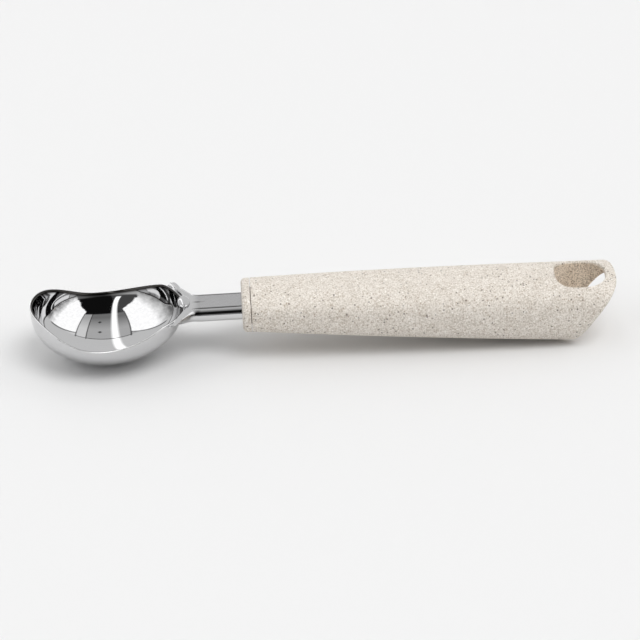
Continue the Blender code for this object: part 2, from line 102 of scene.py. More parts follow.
LEAST_RISE = 0.02
FOLD_SCALE = 6.0
FOLD_REACH = 0.5
CREASE_SCALE = 17.0
SEAM_PLACE = -0.15
SEAM_BEND = -0.10
SEAM_HALF_WIDTH = 0.05
SEAM_WIDENING = 0.018
SEAM_FRONT = -2.35
BESIDE_SEAM_EDGE = -0.30
OPENING_EDGE = -0.57
LOW_FRONT_EDGE = -3.1
CEILING_CHANGE = -0.17
CEILING_CHANGE_WIDTH = 0.45
CEILING_RIGHT_EDGE = 0.345
BACK_EDGE = 0.45
LEFT_PANEL_EDGE = -0.44
LEFT_PANEL_FRONT = -0.97
LEFT_PANEL_LEAN = 0.32
LEFT_PANEL_BACK = 0.70
LEFT_SHADE_HEIGHT = 0.42
LEFT_SHADE_WIDTH = 0.65
LEFT_SHADE_FOLDS = 0.4
RIGHT_PANEL_EDGE = 0.575
RIGHT_PANEL_FRONT = -1.22
RIGHT_PANEL_LEAN = 0.15
RIGHT_PANEL_BACK = 0.27
RIGHT_SHADE_HEIGHT = 0.28
RIGHT_SHADE_WIDTH = 0.36
RIGHT_SHADE_FOLDS = 0.5
RIB_HALF_WIDTH = 0.014
FINE_RIB_HALF_WIDTH = 0.010
FINE_RIB_PLACE = 0.335
WALL_RIB_HALF_WIDTH = 0.03
WALL_RIB_LOW_END = 0.35
RIBS_FRONT = -0.62
RIBS_BACK = 0.50
BACK_RIB_LEFT = -0.46
BACK_RIB_RIGHT = 0.60
SPOTS = ((0.125, -0.216), (0.10, 0.155))
SPOT_REACH = 0.04


class Wire:
    """A socket in a node tree. Arithmetic on it adds Math nodes, and add() makes any other node."""

    def __init__(self, tree, socket=None):
        self.tree = tree
        self.socket = socket

    def add(self, kind, feeds=None, output=0, **settings):
        """Makes a node, sets its settings, then gives its sockets their values or wires."""
        node = self.tree.nodes.new("ShaderNode" + kind)
        for name, value in settings.items():
            setattr(node, name, value)
        for key, value in (feeds or {}).items():
            if isinstance(value, Wire):
                self.tree.links.new(value.socket, node.inputs[key])
            else:
                node.inputs[key].default_value = value
        return Wire(self.tree, node.outputs[output] if node.outputs else None)

    def maths(self, operation, *values, clamped=False):
        return self.add("Math", dict(enumerate(values)), operation=operation, use_clamp=clamped)

    def __add__(self, other):
        return self.maths("ADD", self, other)

    def __sub__(self, other):
        return self.maths("SUBTRACT", self, other)

    def __rsub__(self, other):
        return self.maths("SUBTRACT", other, self)

    def __mul__(self, other):
        return self.maths("MULTIPLY", self, other)

    def __truediv__(self, other):
        return self.maths("DIVIDE", self, other)

    __radd__ = __add__
    __rmul__ = __mul__

    def size(self):
        return self.maths("ABSOLUTE", self)

    def past(self, edge, width):
        """0 below an edge and 1 above it, with a ramp of that width over the edge."""
        return self.maths("ADD", (self - edge) / width, 0.5, clamped=True)

    def before(self, edge, width):
        """1 below an edge and 0 above it, with a ramp of that width over the edge."""
        return self.maths("ADD", (edge - self) / width, 0.5, clamped=True)

    def split(self):
        """The three parts of a vector."""
        node = self.tree.nodes.new("ShaderNodeSeparateXYZ")
        self.tree.links.new(self.socket, node.inputs[0])
        return [Wire(self.tree, part) for part in node.outputs]

    def noise(self, place, scale, detail, roughness=0.5):
        """Cloudy noise from 0 to 1 at a place, which is a vector."""
        feeds = {"Vector": place, "Scale": scale, "Detail": detail, "Roughness": roughness}
        return self.add("TexNoise", feeds, output="Fac")

    def blend(self, low, high):
        """A colour that goes from low to high as this wire goes from 0 to 1."""
        return self.add("Mix", {0: self, 6: low, 7: high}, output=2, data_type="RGBA")


def new_material(name):
    """An empty node material, and a wire to start its nodes from."""
    material = bpy.data.materials.new(name)
    material.use_nodes = True
    material.node_tree.nodes.clear()
    return material, Wire(material.node_tree)


def studio_light(sky):
    """Brightness of the tent in each direction.

    Over the table a direction (x, y, z) is the place p = x / z, q = y / z on a ceiling one unit up. To the
    sides it is the place s = y / |x|, t = z / |x| on a wall one unit out. Each panel, seam or opening is a
    patch in one of these planes, with thin dark ribs round the panels and noise for the folds of the cloth.
    """
    direction = sky.add("TexCoord", output="Generated")
    x, y, z = direction.split()
    rise = z.maths("MAXIMUM", z, LEAST_RISE)
    out = x.maths("MAXIMUM", x.size(), LEAST_RISE)
    p = x / rise
    q = y / rise
    s = y / out
    t = rise / out
    folds = sky.noise(direction, FOLD_SCALE, 3.0) - 0.5
    creases = sky.noise(direction, CREASE_SCALE, 2.0) - 0.5

    def line(value, place, half_width):
        """1 on a thin line where the value meets the place."""
        return ((value - place).size() - half_width).before(0.0, half_width)

    seam_middle = SEAM_PLACE + SEAM_BEND * (q * q)
    seam_half = SEAM_HALF_WIDTH + SEAM_WIDENING * (q * q)
    seam = ((p - seam_middle).size() - seam_half).before(0.0, 0.06) * q.past(SEAM_FRONT, 0.35)

    opening = q.before(OPENING_EDGE, 0.05) * y.before(0.0, 0.05)
    beside_seam = BESIDE_SEAM_GAIN * p.before(BESIDE_SEAM_EDGE, 0.1)
    low_light = LOW_FRONT_LIGHT * (1 + LOW_LEFT_GAIN * x.before(-0.05, 0.2))
    opening_light = OPENING_LIGHT + beside_seam + q.before(LOW_FRONT_EDGE, 0.8) * (low_light - OPENING_LIGHT)

    on_left = x.before(0.0, 0.02)
    in_left = p.before(LEFT_PANEL_EDGE, 0.03)
    in_right = p.past(RIGHT_PANEL_EDGE, 0.03)
    left_front = s - LEFT_PANEL_FRONT + LEFT_PANEL_LEAN * t + FOLD_REACH * folds
    left = in_left * left_front.past(0.0, 0.10) * s.before(LEFT_PANEL_BACK, 0.06)
    right_front = s - RIGHT_PANEL_FRONT + FOLD_REACH * folds
    right_back = RIGHT_PANEL_BACK + RIGHT_PANEL_LEAN * t - s
    right = in_right * right_front.past(0.0, 0.10) * right_back.past(0.0, 0.06)
    panels = left * on_left + right * (1 - on_left)
    left_lit = (t + LEFT_SHADE_FOLDS * folds).past(LEFT_SHADE_HEIGHT, LEFT_SHADE_WIDTH)
    right_lit = (t + RIGHT_SHADE_FOLDS * folds).past(RIGHT_SHADE_HEIGHT, RIGHT_SHADE_WIDTH)
    lit = right_lit + on_left * (left_lit - right_lit)
    cloth = PANEL_SHADED_SHARE + (1 - PANEL_SHADED_SHARE) * lit
    panel_light = cloth * PANEL_LIGHT * (1 + PANEL_CREASE_GAIN * creases)

    towards_back = q.past(CEILING_CHANGE, CEILING_CHANGE_WIDTH)
    light = CEILING_FRONT_LIGHT + (CEILING_BACK_LIGHT - CEILING_FRONT_LIGHT) * towards_back
    light = light + CEILING_RIGHT_GAIN * p.past(CEILING_RIGHT_EDGE, 0.01)
    light = light + q.past(BACK_EDGE, 0.05) * (BACK_LIGHT - light)
    light = light + opening * (opening_light - light)
    light = light + seam * (SEAM_LIGHT - light)
    light = light + panels * (panel_light - light)

    ceiling_ribs = line(p, LEFT_PANEL_EDGE, RIB_HALF_WIDTH) + line(p, RIGHT_PANEL_EDGE, RIB_HALF_WIDTH)
    ceiling_ribs = ceiling_ribs + line(p, FINE_RIB_PLACE, FINE_RIB_HALF_WIDTH)
    ribs = ceiling_ribs * q.past(RIBS_FRONT, 0.04) * q.before(RIBS_BACK, 0.04)
    across = p.past(BACK_RIB_LEFT, 0.03) * p.before(BACK_RIB_RIGHT, 0.03)
    ribs = ribs + line(q, BACK_EDGE, RIB_HALF_WIDTH) * across
    raised = t.past(WALL_RIB_LOW_END, 0.1)
    ribs = ribs + line(s, LEFT_PANEL_BACK, WALL_RIB_HALF_WIDTH) * raised * in_left
    ribs = ribs + line(right_back, 0.0, WALL_RIB_HALF_WIDTH) * raised * in_right
    for spot_p, spot_q in SPOTS:
        away = (p - spot_p).size() + (q - spot_q).size()
        ribs = ribs + away.before(SPOT_REACH, 0.02)
    return light * (1 - RIB_SHADE * ribs.maths("MINIMUM", ribs, 1.0))


world = bpy.data.worlds.new("studio")
world.use_nodes = True
world.node_tree.nodes.clear()
sky = Wire(world.node_tree)
seen = sky.add("LightPath", output="Is Camera Ray")
brightness = studio_light(sky)
brightness = brightness + seen * (BACKGROUND_LIGHT - brightness)
sky.add("OutputWorld", {"Surface": sky.add("Background", {"Strength": brightness})})
bpy.context.scene.world = world

lamp = bpy.data.objects.new("soft_lamp", bpy.data.lights.new("soft_lamp", "SUN"))
lamp.data.energy = LAMP_POWER
lamp.data.angle = LAMP_SPREAD
lamp.rotation_euler = (math.pi / 2 - LAMP_RISE, 0.0, LAMP_TURN)
lamp.visible_glossy = False
bpy.context.scene.collection.objects.link(lamp)

table = bpy.data.meshes.new("table")
corners = [(-1, -1), (1, -1), (1, 1), (-1, 1)]
places = [(u * TABLE_HALF_SIDE, v * TABLE_HALF_SIDE, -TABLE_DROP) for u, v in corners]
table.from_pydata(places, [], [(0, 1, 2, 3)])
table_top = bpy.data.objects.new("table", table)
bpy.context.scene.collection.objects.link(table_top)
material, wire = new_material("pale_table")
shader = wire.add("BsdfPrincipled", {
    "Base Color": TABLE_COLOUR, "Roughness": TABLE_ROUGHNESS, "Specular IOR Level": TABLE_SHINE})
wire.add("OutputMaterial", {"Surface": shader})
table.materials.append(material)


# Bowl: stainless sheet drawn into a deep oval, with a wavy rim that is high at the tip and lowest in the
# middle. Its inside is polished to a mirror, its outside is left satin, and its edge is rounded over.
BOWL_LENGTH = 0.0496
BOWL_WIDTH = 0.0416
BOWL_DEPTH = 0.0177
BOWL_WALL = 0.0009
BOWL_PITCH = math.radians(3.0)
BOWL_FLAT_DEPTH = 0.00006
RIM_TIP_HEIGHT = 0.0202
RIM_DIP_HEIGHT = 0.0127
RIM_SHOULDER_HEIGHT = 0.0175
RIM_BACK_HEIGHT = 0.0168
RIM_DIP_PLACE = 0.0225
RIM_SHOULDER_PLACE = 0.0428
RIM_TIP_EASE = 2.65
RIM_SWEEP_POWER = 1.84
RIM_SHOULDER_ROUNDING = 0.0004
OVERALL_LENGTH = 0.1895
TIP_X = -OVERALL_LENGTH / 2
BOWL_X = TIP_X + BOWL_LENGTH / 2
BOWL_BACK_X = TIP_X + BOWL_LENGTH
PITCHED_DEPTH = math.hypot(BOWL_LENGTH / 2 * math.sin(BOWL_PITCH), BOWL_DEPTH * math.cos(BOWL_PITCH))
BOWL_EQUATOR_Z = PITCHED_DEPTH - BOWL_FLAT_DEPTH
AROUND_BOWL = 240
BOWL_STEPS = 60
BOWL_STEP_POWER = 0.75
RIM_SEARCH = (-1.2, 0.8)
RIM_HALVINGS = 40
RIM_OUTER_ROUND = 0.0003
RIM_INNER_DROP = 0.0005
# The rim's dark line inside the edge is painted shade and dark reflection, wider at the tip and the back.
RIM_LINE_WIDTH = 0.0009
RIM_LINE_TIP_WIDTH = 0.0030
RIM_LINE_BACK_WIDTH = 0.0022
RIM_LINE_TIP_AT = 0.75
RIM_LINE_BACK_AT = 0.65
RIM_LINE_WIDENING = 0.25
RIM_LINE_RINGS = 5
DARK_LINE_PLACE = 0.33 * BOWL_WALL
DARK_LINE_FADE = 0.2 * BOWL_WALL
# The bright line along the rim's top is a painted highlight.
BRIGHT_LINE_PLACE = 0.25 * BOWL_WALL
BRIGHT_LINE_HALF_WIDTH = 0.2 * BOWL_WALL
EDGE_STEPS = 10
MIRROR_COLOUR = (0.70, 0.70, 0.705, 1.0)
MIRROR_STREAK_COLOUR = (0.63, 0.63, 0.635, 1.0)
PAINTED_HIGHLIGHT_COLOUR = (0.95, 0.95, 0.95, 1.0)
PAINTED_SHADE_COLOUR = (0.02, 0.018, 0.015, 1.0)
PAINTED_SHADE_STRENGTH = 0.96
STEEL_CLOUD_SCALE = 220.0
BRUSH_SCALE = (300.0, 3000.0, 9000.0)
BRUSH_DEPTH = 0.00001
BRUSH_STRENGTH = 0.12
SATIN_CLOUDING = 0.08
SATIN_BRUSHING = 0.06
MIRROR_CLOUDING = 0.02
SATIN_STREAK_SHADE = 0.9


def turns(count):
    """Evenly spaced angles once round."""
    return np.linspace(0.0, 2 * math.pi, count, endpoint=False)


def smooth_step(value):
    """0 below 0, 1 above 1, and the cubic 3v^2 - 2v^3 between."""
    value = np.clip(value, 0.0, 1.0)
    return value * value * (3.0 - 2.0 * value)


def rim_height(x):
    """Height of the bowl's rim over the table along the scoop.

    From the tip it falls as (1 - a)^e (1 + e a) to the dip, then rises as a power of the distance from the
    dip, until a straight line takes over at the shoulder. A rounded minimum of the two joins them.
    """
    along = np.clip((x - TIP_X) / RIM_DIP_PLACE, 0.0, 1.0)
    nose = (1 - along) ** RIM_TIP_EASE * (1 + RIM_TIP_EASE * along)
    behind = np.clip((x - TIP_X - RIM_DIP_PLACE) / (RIM_SHOULDER_PLACE - RIM_DIP_PLACE), 0.0, None)
    sweep = RIM_DIP_HEIGHT + (RIM_SHOULDER_HEIGHT - RIM_DIP_HEIGHT) * behind ** RIM_SWEEP_POWER
    past_shoulder = (x - TIP_X - RIM_SHOULDER_PLACE) / (BOWL_LENGTH - RIM_SHOULDER_PLACE)
    back = RIM_SHOULDER_HEIGHT - (RIM_SHOULDER_HEIGHT - RIM_BACK_HEIGHT) * past_shoulder
    lower = (sweep + back - np.sqrt((sweep - back) ** 2 + RIM_SHOULDER_ROUNDING ** 2)) / 2
    return lower + (RIM_TIP_HEIGHT - RIM_DIP_HEIGHT) * nose


def bowl_point(turn, rise, inset):
    """Point of the bowl's ellipsoid, inset from its outside and pitched nose down.

    turn goes round the plan, rise is the angle from the bottom to the equator (0). Above the equator the
    wall goes straight up, by rise times the depth.
    """
    below = np.minimum(rise, 0.0)
    u = (BOWL_LENGTH / 2 - inset) * np.cos(below) * np.cos(turn)
    y = (BOWL_WIDTH / 2 - inset) * np.cos(below) * np.sin(turn)
    v = (BOWL_DEPTH - inset) * np.sin(below) + BOWL_DEPTH * np.maximum(rise, 0.0)
    x = BOWL_X + u * math.cos(BOWL_PITCH) - v * math.sin(BOWL_PITCH)
    z = BOWL_EQUATOR_Z + u * math.sin(BOWL_PITCH) + v * math.cos(BOWL_PITCH)
    return np.stack([x, y, z], -1)


def rim_rise(turn, inset, drop):
    """The rise at which the wall is that drop under the rim's line, found by halving."""
    low = np.full_like(turn, RIM_SEARCH[0])
    high = np.full_like(turn, RIM_SEARCH[1])
    for _ in range(RIM_HALVINGS):
        middle = (low + high) / 2
        point = bowl_point(turn, middle, inset)
        under = point[..., 2] < rim_height(point[..., 0]) - drop
        low = np.where(under, middle, low)
        high = np.where(under, high, middle)
    return low


def skin(name, rings, start=None, end=None, looped=False):
    """A closed mesh from rings of points, shaped (rings, points, 3), each ring joined to the next one.

    start and end are the pole points that close it. With looped the last ring joins the first. The faces
    point outwards: they are turned over where the volume that they hold comes out negative.
    """
    count, points = rings.shape[:2]
    corners = rings.reshape(-1, 3)
    first = np.arange(count if looped else count - 1)[:, None] * points
    here = np.arange(points)[None, :]
    after = (here + 1) % points
    above = (first + points) % (count * points)
    faces = np.stack([first + here, first + after, above + after, above + here], -1).reshape(-1, 4).tolist()
    for pole, offset, order in ((start, 0, 1), (end, (count - 1) * points, -1)):
        if pole is None:
            continue
        middle = np.full(points, len(corners))
        corners = np.vstack([corners, pole])
        around = np.stack([middle, offset + after[0], offset + here[0]], -1)
        faces += around[:, ::order].tolist()
    mesh = bpy.data.meshes.new(name)
    mesh.from_pydata(corners.tolist(), [], faces)
    mesh.validate()
    mesh.update()
    normals = np.zeros(len(mesh.polygons) * 3)
    mesh.polygons.foreach_get("normal", normals)
    middles = np.zeros(len(mesh.polygons) * 3)
    mesh.polygons.foreach_get("center", middles)
    areas = np.zeros(len(mesh.polygons))
    mesh.polygons.foreach_get("area", areas)
    if ((normals * middles).reshape(-1, 3).sum(1) * areas).sum() < 0:
        mesh.flip_normals()
    mesh.shade_smooth()
    piece = bpy.data.objects.new(name, mesh)
    bpy.context.scene.collection.objects.link(piece)
    return piece


def paint(piece, name, shares, at_poles):
    """Gives a piece's points an attribute: the shares of its rings, and then those of its poles."""
    attribute = piece.data.attributes.new(name, "FLOAT", "POINT")
    attribute.data.foreach_set("value", np.append(shares, at_poles))


def place(piece, material, slot, *nodes):
    """Gives a piece its material, and makes it ride on the scoop in the place of its CAD nodes."""
    piece.data.materials.clear()
    piece.data.materials.append(material)
    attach(piece, "root")
    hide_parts(*nodes)


def bowl_rings():
    """Outside from the bottom up, over the rounded edge, and down the inside.

    With them come, for each point, the inside's share, the share of the dark line of painted shade and dark
    reflection along the edge's inner side, which is widest at the tip and at the back, and the share of the
    painted highlight along its outer side.
    The edge's outer part is a quarter circle: inset o (1 - cos), drop under the rim's line o (1 - sin). Its
    inner part is a quarter ellipse that leans into the bowl: inset o + (wall - o) sin, drop RIM_INNER_DROP
    (1 - cos).
    """
    turn = turns(AROUND_BOWL)
    outer = RIM_OUTER_ROUND
    quarter = np.linspace(0.0, math.pi / 2, EDGE_STEPS + 1)
    edge = [(outer * (1 - math.cos(angle)), outer * (1 - math.sin(angle))) for angle in quarter[1:]]
    edge += [(outer + (BOWL_WALL - outer) * math.sin(angle), RIM_INNER_DROP * (1 - math.cos(angle)))
             for angle in quarter[1:-1]]
    levels = np.sin(np.linspace(0.0, math.pi / 2, BOWL_STEPS + 1)[1:]) ** BOWL_STEP_POWER
    rings = []
    insets = []
    top = rim_rise(turn, 0.0, outer)
    for level in levels:
        rings.append(bowl_point(turn, -math.pi / 2 + (top + math.pi / 2) * level, 0.0))
        insets.append(0.0)
    for inset, drop in edge:
        rings.append(bowl_point(turn, rim_rise(turn, inset, drop), inset))
        insets.append(inset)
    for below in np.linspace(0.0, RIM_LINE_WIDTH, RIM_LINE_RINGS):
        rings.append(bowl_point(turn, rim_rise(turn, BOWL_WALL, RIM_INNER_DROP + below), BOWL_WALL))
        insets.append(BOWL_WALL)
    top = rim_rise(turn, BOWL_WALL, RIM_INNER_DROP + RIM_LINE_WIDTH)
    for level in levels[-2::-1]:
        rings.append(bowl_point(turn, -math.pi / 2 + (top + math.pi / 2) * level, BOWL_WALL))
        insets.append(BOWL_WALL)
    rings = np.array(rings)
    insets = np.array(insets)[:, None]
    drop = rim_height(rings[..., 0]) - rings[..., 2] - RIM_INNER_DROP
    ahead = np.cos(turn)
    at_tip = smooth_step((-ahead - RIM_LINE_TIP_AT) / RIM_LINE_WIDENING)
    at_back = smooth_step((ahead - RIM_LINE_BACK_AT) / RIM_LINE_WIDENING)
    width = RIM_LINE_WIDTH + (RIM_LINE_TIP_WIDTH - RIM_LINE_WIDTH) * at_tip
    width = width + (RIM_LINE_BACK_WIDTH - RIM_LINE_WIDTH) * at_back
    painted_shade = smooth_step((insets - DARK_LINE_PLACE) / DARK_LINE_FADE) * (1 - smooth_step(drop / width))
    inner = smooth_step(insets / outer)
    bright = np.exp(-((insets - BRIGHT_LINE_PLACE) / BRIGHT_LINE_HALF_WIDTH) ** 2) * (insets > 0)
    return rings, np.broadcast_to(inner, painted_shade.shape), painted_shade, np.broadcast_to(bright, painted_shade.shape)


def polished_steel(name, inside_roughness, outside_roughness, outside_grey):
    """Stainless steel, mirror polished where the piece's "inside" attribute is 1 and satin where it is 0.

    It is painted dark where the shade attribute is 1, as painted shade and dark reflection, and it has a
    painted highlight where the "edge" attribute is 1.
    """
    material, wire = new_material(name)
    inside = wire.add("Attribute", output="Fac", attribute_name="inside")
    painted_shade = wire.add("Attribute", output="Fac", attribute_name="painted_shade")
    edge = wire.add("Attribute", output="Fac", attribute_name="edge")
    position = wire.add("TexCoord", output="Object")
    cloud = wire.noise(position, STEEL_CLOUD_SCALE, 3.0)
    stretched = wire.add("Mapping", {"Vector": position, "Scale": BRUSH_SCALE})
    lines = wire.noise(stretched, 1.0, 4.0)
    satin = outside_roughness + SATIN_CLOUDING * (cloud - 0.5) + SATIN_BRUSHING * (lines - 0.5)
    roughness = satin + inside * (inside_roughness + MIRROR_CLOUDING * cloud - satin)
    streaks = 0.3 * cloud + 0.7 * lines
    satin_shades = (SATIN_STREAK_SHADE * outside_grey, outside_grey)
    satin_colour = streaks.blend(*[(shade, shade, shade * 1.01, 1.0) for shade in satin_shades])
    colour = inside.blend(satin_colour, streaks.blend(MIRROR_STREAK_COLOUR, MIRROR_COLOUR))
    # Painted shade and a painted highlight: the dark line and the bright line are put into the colour.
    colour = (PAINTED_SHADE_STRENGTH * painted_shade).blend(edge.blend(colour, PAINTED_HIGHLIGHT_COLOUR), PAINTED_SHADE_COLOUR)
    height = lines * (1 - 0.9 * inside)
    relief = {"Height": height, "Distance": BRUSH_DEPTH, "Strength": BRUSH_STRENGTH}
    bump = wire.add("Bump", relief, output="Normal")
    shader = wire.add("BsdfPrincipled", {
        "Base Color": colour, "Metallic": 1.0, "Roughness": roughness, "Normal": bump})
    wire.add("OutputMaterial", {"Surface": shader})
    return material


rings, inner, painted_shade, bright = bowl_rings()
rings[..., 2] = np.maximum(rings[..., 2], 0.0)
bottom = bowl_point(np.zeros(1), np.full(1, -math.pi / 2), 0.0)[0] * (1, 1, 0)
inside_bottom = bowl_point(np.zeros(1), np.full(1, -math.pi / 2), BOWL_WALL)[0]
bowl = skin("bowl_shell", rings, start=bottom, end=inside_bottom)
paint(bowl, "inside", inner, at_poles=[0.0, 1.0])
# The rim's dark line of painted shade and dark reflection.
paint(bowl, "painted_shade", painted_shade, at_poles=[0.0, 0.0])
# The rim's painted highlight.
paint(bowl, "edge", bright, at_poles=[0.0, 0.0])
bowl_steel = polished_steel(
    "bowl_polished_steel", inside_roughness=0.03, outside_roughness=0.13, outside_grey=0.68)
place(bowl, bowl_steel, "bowl_steel", "bowl")


# Stem: a steel tube pressed flat, satin on its flat faces and polished on its sides. Its front end is opened
# into a saddle, a thin plate with two short arms that hugs the bowl's back wall. Its back end is the tang.
SEAT_GAP = 0.0003
STEM_WIDTH = 0.0128
STEM_HEIGHT = 0.0048
STEM_WALL = 0.0008
STEM_AXIS_HEIGHT = 0.0155
STEM_SHOWN_LENGTH = 0.01835
TANG_LENGTH = 0.0300
SADDLE_LENGTH = 0.0054
SADDLE_SPAN = 0.0284
SADDLE_EDGE = 0.0005
SADDLE_FLATNESS = 0.25
SADDLE_FLAT_BY = 0.70
SADDLE_OPEN_BY = 0.86
SADDLE_FLARE_POWER = 4.5
SADDLE_TAPER_POWER = 2.4
SADDLE_TAPER_ROUNDING = 1.5
ARM_LEAVES_AT = 0.0100
ARM_SPREAD = 0.0015
SADDLE_END_X = BOWL_BACK_X + SADDLE_LENGTH
COLLAR_X = BOWL_BACK_X + STEM_SHOWN_LENGTH
TANG_END_X = COLLAR_X + TANG_LENGTH
STEM_TOP_Z = STEM_AXIS_HEIGHT + STEM_HEIGHT / 2
GROOVE_PLACE = 0.0043
GROOVE_HALF_WIDTH = 0.00030
GROOVE_DEPTH = 0.00020
DIMPLE_PLACE = 0.0042
DIMPLE_HALF_LENGTH = 0.0011
DIMPLE_HALF_WIDTH = 0.0008
DIMPLE_CORE_HALF_WIDTH = 0.0004
DIMPLE_DEPTH = 0.00010
# The dimple's core and the grooves' bottoms are painted dark, as shade.
DIMPLE_DARKNESS = 0.8
SATIN_FADE = 0.0006
SADDLE_SATIN_FADE = 0.0034
# The shade under each arm is painted into the steel's colour.
FLARE_SHADE_RISE = 0.74
FLARE_SHADE_FALL = 0.35
FLARE_SHADE_SPREAD = 0.24
FLARE_SHADE_FADE = 0.0014
FLARE_SHADE_LENGTH = 0.0028
FLARE_SHADE_DARKNESS = 0.95
SIDE_ARC_STEPS = 64
FLAT_STEPS = 60
FRONT_FOLDS = (0.0, 0.35, 0.7)
ARM_STEPS = 5
SADDLE_STEPS = 49
TUBE_STEPS = 29
BORE_RINGS = 6


def bowl_back_wall(y, z, clearance):
    """X of the bowl's outer wall behind its middle, moved out by a clearance.

    It is the far root of the ellipsoid's quadratic in x at a width and a height.
    """
    a = BOWL_LENGTH / 2 + clearance
    b = BOWL_WIDTH / 2 + clearance
    c = BOWL_DEPTH + clearance
    cosine = math.cos(BOWL_PITCH)
    sine = math.sin(BOWL_PITCH)
    dz = z - BOWL_EQUATOR_Z
    square = cosine ** 2 / a ** 2 + sine ** 2 / c ** 2
    linear = 2 * dz * cosine * sine * (1 / a ** 2 - 1 / c ** 2)
    constant = dz ** 2 * (sine ** 2 / a ** 2 + cosine ** 2 / c ** 2) + y ** 2 / b ** 2 - 1
    return BOWL_X + (-linear + np.sqrt(np.maximum(linear ** 2 - 4 * square * constant, 0.0))) / (2 * square)


def groove_profile(y):
    """1 in a groove's middle on the stem's top, and exp(-((|y| - place) / half width)^2) beside it."""
    return np.exp(-((np.abs(y) - GROOVE_PLACE) / GROOVE_HALF_WIDTH) ** 2)


def dimple_profile(x, y, half_width):
    """1 in the middle of the dimple behind the bead, and exp(-(u^2 + v^2)) round it."""
    along = (x - BOWL_BACK_X - DIMPLE_PLACE) / DIMPLE_HALF_LENGTH
    return np.exp(-along ** 2 - (y / half_width) ** 2)


def stadium(width, height, groove=0.0):
    """Outline of a flat-sided tube as (y, z): half circles at the sides joined by straight runs.

    A groove of the given depth runs along both sides of the top.
    """
    radius = height / 2
    flat = width / 2 - radius
    arc = np.linspace(0, math.pi / 2, SIDE_ARC_STEPS // 2 + 1)
    side = np.stack([flat + radius * np.cos(arc), radius * np.sin(arc)], 1)
    top = np.stack([np.linspace(flat, -flat, FLAT_STEPS + 1), np.full(FLAT_STEPS + 1, radius)], 1)[1:-1]
    half = np.concatenate([side, top, side[::-1] * (-1, 1)])
    whole = np.concatenate([half, half[-2:0:-1] * (1, -1)])
    whole[:len(half), 1] -= groove * groove_profile(half[:, 0]) * (half[:, 1] > 0)
    return whole


def stadium_ring(x, width, height, groove=0.0):
    """Upright ring of the flattened tube."""
    outline = stadium(width, height, groove)
    return np.column_stack([np.full(len(outline), x), outline[:, 0], STEM_AXIS_HEIGHT + outline[:, 1]])


def arm_back(y, z):
    """X of the saddle's face on the bowl: a seat gap off the wall, and more towards the arms' tips."""
    away = (np.abs(y) - ARM_LEAVES_AT) / (SADDLE_SPAN / 2 - ARM_LEAVES_AT)
    return bowl_back_wall(y, z, SEAT_GAP) + ARM_SPREAD * smooth_step(away)


def saddle_ring(spread, fold=1.0):
    """One ring of the saddle.

    spread is 0 at the plain tube and 1 on the bowl's wall. A fold under 1 draws the ring's top and bottom
    together. The tube's width opens with a power of the spread, so its sides flare out in a curve, and the
    dimple is pressed into the top behind the bead.
    """
    outline = stadium(STEM_WIDTH, STEM_HEIGHT, GROOVE_DEPTH)
    across = outline[:, 0] / (STEM_WIDTH / 2)
    down = (1 - outline[:, 1] / (STEM_HEIGHT / 2)) / 2
    opening = min(spread / SADDLE_OPEN_BY, 1.0) ** SADDLE_FLARE_POWER
    half_width = STEM_WIDTH / 2 + (SADDLE_SPAN - STEM_WIDTH) / 2 * opening
    y = half_width * across
    reach = np.minimum(np.abs(y) / (SADDLE_SPAN / 2), 1.0)
    taper = (1 - reach ** SADDLE_TAPER_POWER) ** SADDLE_TAPER_ROUNDING
    arm = SADDLE_EDGE + (STEM_HEIGHT - SADDLE_EDGE) * taper
    flattening = smooth_step(spread / SADDLE_FLAT_BY)
    tall = STEM_HEIGHT + (arm - STEM_HEIGHT) * flattening
    squared = np.sign(down - 0.5) * np.abs(2 * down - 1) ** (1 - SADDLE_FLATNESS * flattening) / 2
    z = STEM_TOP_Z - tall * (0.5 + squared * fold)
    x = SADDLE_END_X + (arm_back(y, z) - SADDLE_END_X) * spread
    z = z - DIMPLE_DEPTH * dimple_profile(x, y, DIMPLE_HALF_WIDTH) * (down < 0.5)
    return np.stack([x, y, z], 1)


def stem_rings():
    """From the folded front on the bowl back through the saddle and the tube, then forward inside it."""
    rings = [saddle_ring(1.0, fold) for fold in FRONT_FOLDS]
    rings += [saddle_ring(spread) for spread in np.linspace(1.0, SADDLE_OPEN_BY, ARM_STEPS + 1)]
    rings += [saddle_ring(spread) for spread in np.linspace(SADDLE_OPEN_BY, 0.0, SADDLE_STEPS + 1)[1:]]
    for x in np.linspace(SADDLE_END_X, TANG_END_X, TUBE_STEPS + 1)[1:]:
        groove = GROOVE_DEPTH if x < COLLAR_X else 0.0
        rings.append(stadium_ring(x, STEM_WIDTH, STEM_HEIGHT, groove))
    inner = (STEM_WIDTH - 2 * STEM_WALL, STEM_HEIGHT - 2 * STEM_WALL)
    rings += [stadium_ring(x, *inner) for x in np.linspace(TANG_END_X, SADDLE_END_X, BORE_RINGS)]
    return np.array(rings)


